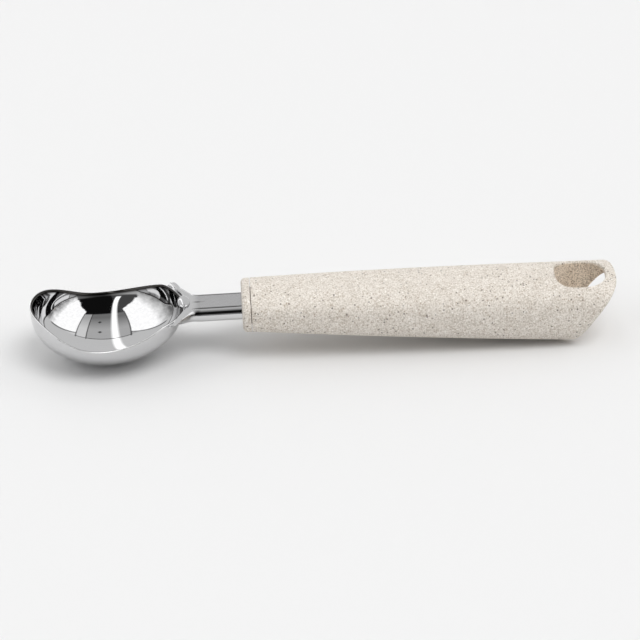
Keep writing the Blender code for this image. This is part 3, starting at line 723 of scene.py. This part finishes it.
def stem_finish(rings):
    """Shares of polish and of dark line for each point of the stem.

    The round sides and the saddle are polished. The grooves' bottoms and the dimple's core are painted dark
    as shade, and so is the shade under each arm, also painted: a band round the tube's side,
    exp(-((rise - middle) / spread)^2), that sinks along the arm and fades.
    """
    x, y, z = rings.reshape(-1, 3).T
    on_top = z > STEM_AXIS_HEIGHT
    on_side = smooth_step((np.abs(y) - (STEM_WIDTH - STEM_HEIGHT) / 2) / SATIN_FADE)
    past_end = SADDLE_END_X - x
    on_saddle = smooth_step(past_end / SADDLE_SATIN_FADE)
    grooves = groove_profile(y) * on_top * (1 - on_saddle)
    dimple = DIMPLE_DARKNESS * dimple_profile(x, y, DIMPLE_CORE_HALF_WIDTH) * on_top
    rise = np.tile(stadium(STEM_WIDTH, STEM_HEIGHT)[:, 1] / (STEM_HEIGHT / 2), len(rings))
    middle = FLARE_SHADE_RISE - FLARE_SHADE_FALL * past_end / FLARE_SHADE_LENGTH
    shade = FLARE_SHADE_DARKNESS * np.exp(-((rise - middle) / FLARE_SHADE_SPREAD) ** 2)
    shade = shade * smooth_step(past_end / FLARE_SHADE_FADE)
    shade = shade * (1 - smooth_step((past_end - FLARE_SHADE_LENGTH) / FLARE_SHADE_LENGTH))
    return np.maximum(on_side, on_saddle), np.maximum(grooves + dimple, shade)


rings = stem_rings()
stem = skin("stem_tube", rings, end=(SADDLE_END_X, 0.0, STEM_AXIS_HEIGHT))
# dark holds the painted shade of the grooves, the dimple's core and the arms.
polished, dark = stem_finish(rings)
paint(stem, "inside", polished, at_poles=[0.0])
paint(stem, "painted_shade", dark, at_poles=[0.0])
stem_steel = polished_steel(
    "stem_satin_steel", inside_roughness=0.05, outside_roughness=0.22, outside_grey=0.53)
place(stem, stem_steel, "stem_steel", "stem")


# Welds: weld metal that fuses the saddle to the bowl. A bead lies over the rim in the middle, and a fillet
# fills the wedge behind each arm's tip. They are ground bright but stay lumpy.
BEAD_LENGTH = 0.0040
BEAD_WIDTH = 0.0076
BEAD_RISE = 0.0010
BEAD_SET_BACK = 0.0006
FILLET_STARTS_AT = 0.0118
FILLET_END_AT = 0.0138
FILLET_HEIGHT = 0.0010
FILLET_SINK = 0.0005
AROUND_BEAD = 72
BEAD_STEPS = 19
AROUND_FILLET = 32
FILLET_STEPS = 24


def bead_rings():
    """A flat-bottomed dome: half ellipses turned round an upright axis."""
    turn = turns(AROUND_BEAD)
    place_x = BOWL_BACK_X - BOWL_WALL + BEAD_SET_BACK
    low = STEM_TOP_Z + SEAT_GAP
    rings = []
    for rise in np.linspace(0, math.pi / 2, BEAD_STEPS + 1)[:-1]:
        x = place_x + BEAD_LENGTH / 2 * math.cos(rise) * np.cos(turn)
        y = BEAD_WIDTH / 2 * math.cos(rise) * np.sin(turn)
        rings.append(np.stack([x, y, np.full_like(x, low + BEAD_RISE * math.sin(rise))], 1))
    return np.array(rings), (place_x, 0, low), (place_x, 0, low + BEAD_RISE)


def fillet_rings(side):
    """Wedge between the bowl's wall and an arm: ovals that reach from one to the other.

    Part way a along the wedge an oval's size is the square root of 1 - (2a - 1)^4.
    """
    turn = turns(AROUND_FILLET)
    middle_z = STEM_TOP_Z - FILLET_SINK - FILLET_HEIGHT / 2
    rings = []
    for along in np.linspace(0, 1, FILLET_STEPS + 1):
        y = FILLET_STARTS_AT + (FILLET_END_AT - FILLET_STARTS_AT) * along
        size = max(1 - (2 * along - 1) ** 4, 0.0) ** 0.5
        z = middle_z + FILLET_HEIGHT / 2 * size * np.sin(turn)
        ys = np.full_like(z, y)
        near = bowl_back_wall(ys, z, SEAT_GAP)
        far = arm_back(ys, z) - SEAT_GAP
        x = (near + far) / 2 + (far - near) / 2 * size * np.cos(turn)
        rings.append(np.stack([x, side * ys, z], 1))
    return np.array(rings[1:-1]), rings[0].mean(0), rings[-1].mean(0)


weld_steel = polished_steel(
    "weld_bright_steel", inside_roughness=0.15, outside_roughness=0.12, outside_grey=0.66)
rings, low_pole, high_pole = bead_rings()
place(skin("weld_bead", rings, start=low_pole, end=high_pole), weld_steel, "weld_steel", "weld_center")
for side, node in ((1, "weld_left"), (-1, "weld_right")):
    rings, near_pole, far_pole = fillet_rings(side)
    place(skin(node + "_fillet", rings, start=near_pole, end=far_pole), weld_steel, "weld_steel", node)


# Grip: a thick oval handle moulded in wheat straw plastic, hollow in front, with a raked and bowed tail
# end. The hanging hole goes down through the tail, and its top edge is rounded over. It is a rounded square
# in plan, rounder on the tail's side, where its wall slopes back under a lip.
COLLAR_THICKNESS = 0.0027
SPIGOT_WALL_TOP = 0.0011
SPIGOT_WALL_SIDE = 0.0019
GRIP_LENGTH = 0.11855
GRIP_MOUTH_WIDTH = 0.0224
GRIP_TAIL_WIDTH = 0.0284
GRIP_WIDEST_PLACE = 0.0940
GRIP_MOUTH_TOP = 0.0221
GRIP_TAIL_TOP = 0.0204
GRIP_MOUTH_BOTTOM = 0.0094
GRIP_UNDERSIDE_REACH = 0.1035
GRIP_UNDERSIDE_POWER = 1.06
GRIP_TOP_POWER = 1.5
GRIP_SQUARENESS = 3.0
TAIL_RAKE = math.radians(36.0)
TAIL_BOW = 0.0014
TAIL_EDGE_RADIUS = 0.0012
TAIL_LEAN_LENGTH = 0.0450
CAVITY_LENGTH = 0.0850
CAVITY_DRAFT = 0.0010
HOLE_PLACE = 0.0120
HOLE_LENGTH = 0.0161
HOLE_WIDTH = 0.0165
HOLE_BOWL_SIDE_SQUARENESS = 3.3
HOLE_TAIL_SIDE_SQUARENESS = 2.4
HOLE_LIP_EDGE = 0.0004
HOLE_LIP_SLOPE = 0.0023
HOLE_LIP_REACH = 0.0021
HOLE_EDGE_RADIUS = 0.0006
HOLE_LEDGE_DEPTH = 0.0012
HOLE_LEDGE = 0.00012
HOLE_RELIEF_SQUARENESS = 3.0
# The hanging hole's wall is painted darker and browner, as shade in the hole.
HOLE_SHADE_HALF_LENGTH = 0.0104
HOLE_SHADE_HALF_WIDTH = 0.0085
HOLE_SHADE_DEPTH = 0.0010
MOUTH_X = COLLAR_X + COLLAR_THICKNESS + SEAT_GAP
TAIL_X = MOUTH_X + GRIP_LENGTH
HOLE_X = TAIL_X - HOLE_PLACE
AROUND_GRIP = 192
GRIP_STEPS = 60
LEAN_STEPS = 36
RAKE_ROUNDS = 6
CAVITY_RINGS = 12
MOUTH_EDGE = 0.0002
TAIL_EDGE_STEPS = 8
TAIL_STEPS = 15
AROUND_HOLE = 160
HOLE_EDGE_DEPTHS = (1.0, 0.8, 0.6, 0.45, 0.32, 0.2, 0.12, 0.06)
HOLE_CUTTER_LOW = -0.01
HOLE_CUTTER_RISE = 0.004
MOULDED_SHARP_ANGLE = math.radians(50)

STRAW_CLOUD_SCALE = 260.0
STRAW_GRAIN_SCALE = 2100.0
STRAW_COLOUR = (0.80, 0.75, 0.685)
STRAW_SHADED_COLOUR = (0.41, 0.35, 0.28)
BROWN_SPECK_COLOUR = (0.38, 0.29, 0.21, 1.0)
DARK_SPECK_COLOUR = (0.11, 0.08, 0.06, 1.0)
PALE_SPECK_COLOUR = (0.92, 0.89, 0.84, 1.0)
HOLE_SHADE_COLOUR = (0.80, 0.68, 0.54, 1.0)
HOLE_DARK_SHADE_COLOUR = (0.26, 0.18, 0.11, 1.0)
STRAW_RELIEF = 0.00006
STRAW_RELIEF_STRENGTH = 0.5
STRAW_ROUGHNESS = 0.48
STRAW_SHINE = 0.95


def grip_width(x):
    """Full width of the grip: grows as a parabola from the mouth to its widest place, then stays."""
    left = np.clip(1 - (x - MOUTH_X) / GRIP_WIDEST_PLACE, 0.0, None)
    return GRIP_TAIL_WIDTH - (GRIP_TAIL_WIDTH - GRIP_MOUTH_WIDTH) * left ** 2


def grip_top(x):
    """Height of the grip's top line, falling slightly to the tail."""
    along = np.clip((x - MOUTH_X) / GRIP_LENGTH, 0.0, 1.0)
    return GRIP_MOUTH_TOP - (GRIP_MOUTH_TOP - GRIP_TAIL_TOP) * along ** GRIP_TOP_POWER


def grip_bottom(x):
    """Height of the grip's bottom line, which comes down to the table near the tail."""
    left = np.clip(1 - (x - MOUTH_X) / GRIP_UNDERSIDE_REACH, 0.0, None)
    return GRIP_MOUTH_BOTTOM * left ** GRIP_UNDERSIDE_POWER


def superellipse(turn, squareness):
    """Points of |u|^n + |v|^n = 1 in the given directions, where n is the squareness."""
    reach = (np.abs(np.cos(turn)) ** squareness + np.abs(np.sin(turn)) ** squareness) ** (-1 / squareness)
    return reach * np.cos(turn), reach * np.sin(turn)


def grip_ring(station, lean, shrink):
    """Ring of the grip's outer surface.

    station is the X at the top line, lean runs from 0 for an upright ring to 1 for one on the raked, bowed
    end, and shrink draws the ring in towards its middle. The X depends on the height and the height on the
    X, so both are worked out a few times over.
    """
    across, up = superellipse(turns(AROUND_GRIP), GRIP_SQUARENESS)
    x = np.full_like(across, station)
    for _ in range(RAKE_ROUNDS):
        middle = (grip_top(x) + grip_bottom(x)) / 2
        y = (grip_width(x) / 2 - shrink) * across
        z = middle + ((grip_top(x) - grip_bottom(x)) / 2 - shrink) * up
        raked = math.tan(TAIL_RAKE) * (grip_top(station) - z) + TAIL_BOW * (2 * y / GRIP_TAIL_WIDTH) ** 2
        x = station - lean * raked
    return np.stack([x, y, z], 1)


def cavity_size(x):
    """Width and height of the grip's cavity, which narrows a little from the mouth inwards."""
    taper = 2 * CAVITY_DRAFT * (x - MOUTH_X) / CAVITY_LENGTH
    width = STEM_WIDTH + 4 * SEAT_GAP + 2 * SPIGOT_WALL_SIDE
    height = STEM_HEIGHT + 4 * SEAT_GAP + 2 * SPIGOT_WALL_TOP
    return width - taper, height - taper


def cavity_ring(x, clearance, outset=0.0):
    """Ring inside the grip's cavity, drawn in by a clearance."""
    width, height = cavity_size(x + outset)
    across, up = superellipse(turns(AROUND_GRIP), GRIP_SQUARENESS)
    y = (width / 2 - clearance) * across
    z = STEM_AXIS_HEIGHT + (height / 2 - clearance) * up
    return np.stack([np.full_like(y, x), y, z], 1)


def grip_rings():
    """Cavity from its deep end to the mouth, the outside from the mouth to the tail, and the bowed end."""
    rings = [cavity_ring(x, 0.0) for x in np.linspace(MOUTH_X + CAVITY_LENGTH, MOUTH_X, CAVITY_RINGS)]
    for angle in np.radians([0, 45]):
        ring = grip_ring(MOUTH_X, 0.0, MOUTH_EDGE * (1 - math.sin(angle)))
        ring[:, 0] += MOUTH_EDGE * (1 - math.cos(angle))
        rings.append(ring)
    lean_start = TAIL_X - TAIL_LEAN_LENGTH
    edge_x = TAIL_X - TAIL_EDGE_RADIUS
    rings += [grip_ring(x, 0.0, 0.0) for x in np.linspace(MOUTH_X + MOUTH_EDGE, lean_start, GRIP_STEPS + 1)]
    for part_way in np.linspace(0, 1, LEAN_STEPS + 1)[1:]:
        rings.append(grip_ring(lean_start + (edge_x - lean_start) * part_way, part_way, 0.0))
    for angle in np.radians(np.linspace(0, 90, TAIL_EDGE_STEPS + 1)[1:]):
        station = edge_x + TAIL_EDGE_RADIUS * math.sin(angle)
        rings.append(grip_ring(station, 1.0, TAIL_EDGE_RADIUS * (1 - math.cos(angle))))
    flat = rings[-1]
    middle = flat.mean(0)
    for size in np.linspace(1.0, 0.0, TAIL_STEPS + 1)[1:-1]:
        inner = middle + (flat - middle) * size
        inner[:, 0] += TAIL_BOW * (2 * flat[:, 1] / GRIP_TAIL_WIDTH) ** 2 * size * (1 - size)
        rings.append(inner)
    deep_pole = (MOUTH_X + CAVITY_LENGTH, 0.0, STEM_AXIS_HEIGHT)
    return np.array(rings), deep_pole, middle + (TAIL_BOW / 4, 0.0, 0.0)


def hole_outline(grow, relief):
    """Outline of the hanging hole as (x, y): |u|^n + |v|^n = 1, with an n for each side.

    It is grown all round by one length. On the tail's side it is longer by the relief, and then squarer.
    """
    turn = turns(AROUND_HOLE)
    on_bowl_side = np.cos(turn) < 0
    tail_side = HOLE_RELIEF_SQUARENESS if relief > 0 else HOLE_TAIL_SIDE_SQUARENESS
    squareness = np.where(on_bowl_side, HOLE_BOWL_SIDE_SQUARENESS, tail_side)
    u, v = superellipse(turn, squareness)
    half_length = HOLE_LENGTH / 2 + grow + np.where(on_bowl_side, 0.0, relief)
    return HOLE_X + half_length * u, (HOLE_WIDTH / 2 + grow) * v


def grip_surface(x, y):
    """Height of the grip's upper surface: its superellipse solved for the height."""
    half = (grip_top(x) - grip_bottom(x)) / 2
    bulge = (1 - np.abs(2 * y / grip_width(x)) ** GRIP_SQUARENESS) ** (1 / GRIP_SQUARENESS)
    return (grip_top(x) + grip_bottom(x)) / 2 + half * bulge


def hole_rings():
    """Cutter for the hanging hole, which flares at the grip's top surface like a quarter circle.

    At a depth d under the surface it is grown by e (1 - sqrt(1 - (1 - d / e)^2)), e the edge's radius.
    """
    rings = []
    slope_top = GRIP_TAIL_TOP - HOLE_LIP_EDGE
    for z in (HOLE_CUTTER_LOW, slope_top - HOLE_LIP_SLOPE):
        x, y = hole_outline(0.0, HOLE_LIP_REACH)
        rings.append(np.stack([x, y, np.full_like(x, z)], 1))
    for grow, depth in ((0.0, HOLE_LEDGE_DEPTH + HOLE_LEDGE), (HOLE_LEDGE, HOLE_LEDGE_DEPTH)):
        x, y = hole_outline(grow, 0.0)
        rings.append(np.stack([x, y, np.maximum(grip_surface(x, y) - depth, slope_top - depth / 2)], 1))
    for depth in HOLE_EDGE_DEPTHS:
        flare = HOLE_LEDGE + HOLE_EDGE_RADIUS * (1 - math.sqrt(1 - (1 - depth) ** 2))
        x, y = hole_outline(flare, 0.0)
        rings.append(np.stack([x, y, grip_surface(x, y) - HOLE_EDGE_RADIUS * depth], 1))
    top = rings[-1].copy()
    top[:, 2] += HOLE_CUTTER_RISE
    rings.append(top)
    return np.array(rings), (HOLE_X, 0.0, HOLE_CUTTER_LOW), (HOLE_X, 0.0, float(top[:, 2].mean()))


def carve(piece, cutter):
    """Takes a cutter out of a piece for good."""
    modifier = piece.modifiers.new("hole", "BOOLEAN")
    modifier.operation = "DIFFERENCE"
    modifier.solver = "EXACT"
    modifier.object = cutter
    carved = bpy.data.meshes.new_from_object(piece.evaluated_get(bpy.context.evaluated_depsgraph_get()))
    piece.modifiers.clear()
    piece.data = carved
    bpy.data.objects.remove(cutter)


def straw_plastic(name, tint):
    """Wheat straw plastic: beige, finely mottled, with brown, dark and pale specks of ground straw in it.

    The hanging hole's wall, inside |u|^4 + |v|^4 = 1 in plan, is painted browner and darker as shade, with
    coarser mottling than the outside.
    """
    material, wire = new_material(name)
    position = wire.add("TexCoord", output="Object")
    cloud = wire.noise(position, STRAW_CLOUD_SCALE, 3.0)
    grain = wire.noise(position, STRAW_GRAIN_SCALE, 2.0, roughness=0.6)
    shaded, base = [(*[part * tint for part in plain], 1.0) for plain in (STRAW_SHADED_COLOUR, STRAW_COLOUR)]
    colour = (grain + 0.2 * (cloud - 0.5)).past(0.44, 0.36).blend(shaded, base)

    def specks(scale, share, radius, softness):
        """Soft round spots in a share of the cells of a cellular pattern, 1 in a spot."""
        cells = {"Vector": position, "Scale": scale, "Randomness": 1.0}
        distance = wire.add("TexVoronoi", cells, output="Distance")
        chance = wire.add("TexVoronoi", cells, output="Color").split()[0]
        return distance.before(radius, softness) * chance.before(share, 0.02)

    brown = specks(scale=1500.0, share=0.30, radius=0.33, softness=0.3)
    dark = specks(scale=1100.0, share=0.10, radius=0.30, softness=0.2)
    pale = specks(scale=1300.0, share=0.18, radius=0.32, softness=0.3)
    colour = (0.9 * brown).blend(colour, BROWN_SPECK_COLOUR)
    colour = (0.95 * dark).blend(colour, DARK_SPECK_COLOUR)
    colour = (0.8 * pale).blend(colour, PALE_SPECK_COLOUR)
    x, y, z = position.split()
    u = (x - HOLE_X) / HOLE_SHADE_HALF_LENGTH
    v = y / HOLE_SHADE_HALF_WIDTH
    from_hole = u * u * (u * u) + v * v * (v * v)
    in_hole = from_hole.before(1.05, 0.1) * z.before(GRIP_TAIL_TOP - HOLE_SHADE_DEPTH, 0.0006)
    # Painted shade: the hole's wall is coloured darker and browner.
    hole_shade = (grain + 0.3 * (cloud - 0.5)).past(0.46, 0.22).blend(HOLE_DARK_SHADE_COLOUR, HOLE_SHADE_COLOUR)
    colour = (0.8 * in_hole).blend(colour, hole_shade)
    height = 0.6 * grain + 0.4 * cloud
    relief = {"Height": height, "Distance": STRAW_RELIEF, "Strength": STRAW_RELIEF_STRENGTH}
    bump = wire.add("Bump", relief, output="Normal")
    roughness = STRAW_ROUGHNESS + 0.10 * cloud
    shader = wire.add("BsdfPrincipled", {
        "Base Color": colour, "Roughness": roughness, "Normal": bump, "Specular IOR Level": STRAW_SHINE})
    wire.add("OutputMaterial", {"Surface": shader})
    return material


rings, deep_pole, tail_pole = grip_rings()
grip = skin("grip_handle", rings, start=deep_pole, end=tail_pole)
rings, low_pole, high_pole = hole_rings()
carve(grip, skin("hole_cutter", rings, start=low_pole, end=high_pole))
grip.data.set_sharp_from_angle(angle=MOULDED_SHARP_ANGLE)
place(grip, straw_plastic("grip_straw_plastic", tint=1.0), "grip_plastic", "grip")


# Collar: a moulded plug of the same plastic that closes the grip's mouth. The flange that shows has a
# rounded front edge, and a spigot behind it holds the tang.
COLLAR_EDGE_RADIUS = 0.0014
COLLAR_SEAM = 0.0002
SPIGOT_LENGTH = 0.0260
COLLAR_EDGE_STEPS = 12


def tang_bore_ring(x):
    """Ring of the collar's bore: the tang's section grown by the seat gap, in the grip's point count."""
    outline = stadium(STEM_WIDTH + 2 * SEAT_GAP, STEM_HEIGHT + 2 * SEAT_GAP)
    angle = np.unwrap(np.arctan2(outline[:, 1], outline[:, 0]))
    closed_angle = np.append(angle, angle[0] + 2 * math.pi)
    closed = np.vstack([outline, outline[:1]])
    y = np.interp(turns(AROUND_GRIP), closed_angle, closed[:, 0])
    z = STEM_AXIS_HEIGHT + np.interp(turns(AROUND_GRIP), closed_angle, closed[:, 1])
    return np.stack([np.full(AROUND_GRIP, x), y, z], 1)


def collar_rings():
    """Front face, rounded front edge, flange, and the spigot, then back through the tang's bore."""
    rings = [tang_bore_ring(COLLAR_X)]
    for angle in np.radians(np.linspace(0, 90, COLLAR_EDGE_STEPS + 1)):
        ring = grip_ring(MOUTH_X, 0.0, COLLAR_EDGE_RADIUS * (1 - math.sin(angle)))
        ring[:, 0] = COLLAR_X + COLLAR_EDGE_RADIUS * (1 - math.cos(angle))
        rings.append(ring)
    back = MOUTH_X - COLLAR_SEAM
    for angle in np.radians([90, 45, 0]):
        ring = grip_ring(MOUTH_X, 0.0, MOUTH_EDGE * (1 - math.sin(angle)))
        ring[:, 0] = back - MOUTH_EDGE * (1 - math.cos(angle))
        rings.append(ring)
    rings.append(cavity_ring(back, SEAT_GAP, SEAT_GAP))
    rings.append(cavity_ring(MOUTH_X + SPIGOT_LENGTH, SEAT_GAP))
    rings.append(tang_bore_ring(MOUTH_X + SPIGOT_LENGTH))
    return np.array(rings)


collar = skin("collar_plug", collar_rings(), looped=True)
collar.data.set_sharp_from_angle(angle=MOULDED_SHARP_ANGLE)
place(collar, straw_plastic("collar_straw_plastic", tint=0.96), "collar_plastic", "collar")


# Pin: a short drawn steel pin across the spigot and the tang, hidden inside the grip, with chamfered ends.
PIN_DIAMETER = 0.0024
PIN_PLACE = 0.0160
PIN_CHAMFER = 0.0003
PIN_SHARP_ANGLE = math.radians(30)
AROUND_PIN = 48


def pin_rings():
    """A round bar between two heights, each end narrowed over its chamfer."""
    turn = turns(AROUND_PIN)
    half = cavity_size(COLLAR_X + PIN_PLACE)[1] / 2 - SEAT_GAP
    straight = half - PIN_CHAMFER
    rings = []
    for up, inset in ((-half, PIN_CHAMFER), (-straight, 0.0), (straight, 0.0), (half, PIN_CHAMFER)):
        radius = PIN_DIAMETER / 2 - inset
        x = COLLAR_X + PIN_PLACE + radius * np.cos(turn)
        rings.append(np.stack([x, radius * np.sin(turn), np.full_like(x, STEM_AXIS_HEIGHT + up)], 1))
    poles = [(COLLAR_X + PIN_PLACE, 0.0, STEM_AXIS_HEIGHT + up) for up in (-half, half)]
    return np.array(rings), *poles


rings, low_pole, high_pole = pin_rings()
pin = skin("tang_lock_pin", rings, start=low_pole, end=high_pole)
pin.data.set_sharp_from_angle(angle=PIN_SHARP_ANGLE)
pin_steel = polished_steel("pin_drawn_steel", inside_roughness=0.3, outside_roughness=0.3, outside_grey=0.6)
place(pin, pin_steel, "pin_steel", "tang_pin")
